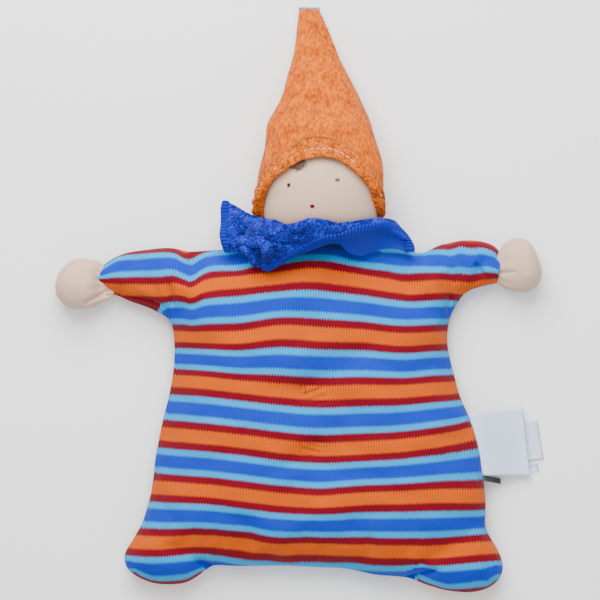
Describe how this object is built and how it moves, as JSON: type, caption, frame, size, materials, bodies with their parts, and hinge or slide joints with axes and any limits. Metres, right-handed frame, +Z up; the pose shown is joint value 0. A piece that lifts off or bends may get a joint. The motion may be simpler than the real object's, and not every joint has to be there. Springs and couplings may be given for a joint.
{
  "type": "gnome doll",
  "caption": "Flat stuffed comforter doll lying on its back: striped jersey body with sleeves and corner feet, tied hands, round head, pointed cap and neckerchief.",
  "frame": {"origin": "on the surface that the doll lies on, under the middle of its body", "axes": "+X to the right of the picture, +Y from the hem to the tip of the cap, +Z up out of the face"},
  "size_m": [0.2512, 0.3006, 0.0456],
  "materials": {
    "striped_jersey": "rib-marked cotton jersey in stripes of orange, dark red, light blue and blue",
    "wool_wadding": "loose carded wool",
    "tricot_skin": "fine matt cotton tricot",
    "orange_thread": "twisted cotton thread",
    "pale_thread": "twisted tying thread",
    "dark_thread": "embroidery thread",
    "red_thread": "embroidery thread",
    "brown_mohair": "curled mohair yarn",
    "orange_velour": "sheared cotton velour with a short pile",
    "orange_terry": "looped cotton terry",
    "blue_terry": "looped cotton terry with an overlocked edge",
    "white_satin": "woven satin tape, bare",
    "dark_tape": "woven tape"
  },
  "bodies": {
    "torso": {"torso_front_panel": "striped_jersey", "torso_back_panel": "striped_jersey", "torso_wadding": "wool_wadding", "upper_tuft_thread": "orange_thread", "lower_tuft_thread": "orange_thread", "neckerchief": "blue_terry"},
    "neck": {"neck_tube": "tricot_skin", "neck_thread": "pale_thread"},
    "head": {"head_cover": "tricot_skin", "head_core": "wool_wadding", "left_eye": "dark_thread", "right_eye": "dark_thread", "mouth": "red_thread", "hair_tuft": "brown_mohair", "hat": "orange_velour", "hat_hem": "orange_terry"},
    "left_arm": {"left_sleeve": "striped_jersey", "left_arm_wadding": "wool_wadding"},
    "right_arm": {"right_sleeve": "striped_jersey", "right_arm_wadding": "wool_wadding"},
    "left_hand": {"left_hand_cover": "tricot_skin", "left_hand_core": "wool_wadding", "left_wrist_thread": "pale_thread"},
    "right_hand": {"right_hand_cover": "tricot_skin", "right_hand_core": "wool_wadding", "right_wrist_thread": "pale_thread"},
    "left_foot": {"left_foot_cover": "striped_jersey", "left_foot_wadding": "wool_wadding"},
    "right_foot": {"right_foot_cover": "striped_jersey", "right_foot_wadding": "wool_wadding"},
    "labels": {"main_label": "white_satin", "second_label": "white_satin", "third_label": "white_satin", "dark_tab": "dark_tape"}
  },
  "joints": [
    {"name": "neck_nod", "type": "hinge", "parent": "torso", "child": "neck", "pos_m": [0.0041, 0.082, 0.0095], "axis": [1, 0, 0], "range_deg": [-45, 45], "deforming": ["neckerchief"]},
    {"name": "head_turn", "type": "hinge", "parent": "neck", "child": "head", "pos_m": [0.0041, 0.082, 0.0095], "axis": [0.0383, 0.8949, 0.4445], "range_deg": [-60, 60]},
    {"name": "left_shoulder", "type": "hinge", "parent": "torso", "child": "left_arm", "pos_m": [-0.072, 0.066, 0.0095], "axis": [0, 1, 0], "range_deg": [-45, 45]},
    {"name": "right_shoulder", "type": "hinge", "parent": "torso", "child": "right_arm", "pos_m": [0.072, 0.067, 0.0095], "axis": [0, -1, 0], "range_deg": [-45, 45]},
    {"name": "left_wrist", "type": "hinge", "parent": "left_arm", "child": "left_hand", "pos_m": [-0.105, 0.0675, 0.0095], "axis": [0, 1, 0], "range_deg": [-30, 30]},
    {"name": "right_wrist", "type": "hinge", "parent": "right_arm", "child": "right_hand", "pos_m": [0.0986, 0.0717, 0.0095], "axis": [0, -1, 0], "range_deg": [-30, 30]},
    {"name": "left_foot_fold", "type": "hinge", "parent": "torso", "child": "left_foot", "pos_m": [-0.06875, -0.07075, 0.0095], "axis": [-0.9149, 0.4037, 0], "range_deg": [-45, 45]},
    {"name": "right_foot_fold", "type": "hinge", "parent": "torso", "child": "right_foot", "pos_m": [0.06975, -0.07355, 0.0095], "axis": [-0.8838, -0.4679, 0], "range_deg": [-45, 45]},
    {"name": "label_flap", "type": "hinge", "parent": "torso", "child": "labels", "pos_m": [0.08226, -0.00149, 0.0095], "axis": [0.2267, -0.974, 0], "range_deg": [-60, 80]}
  ]
}
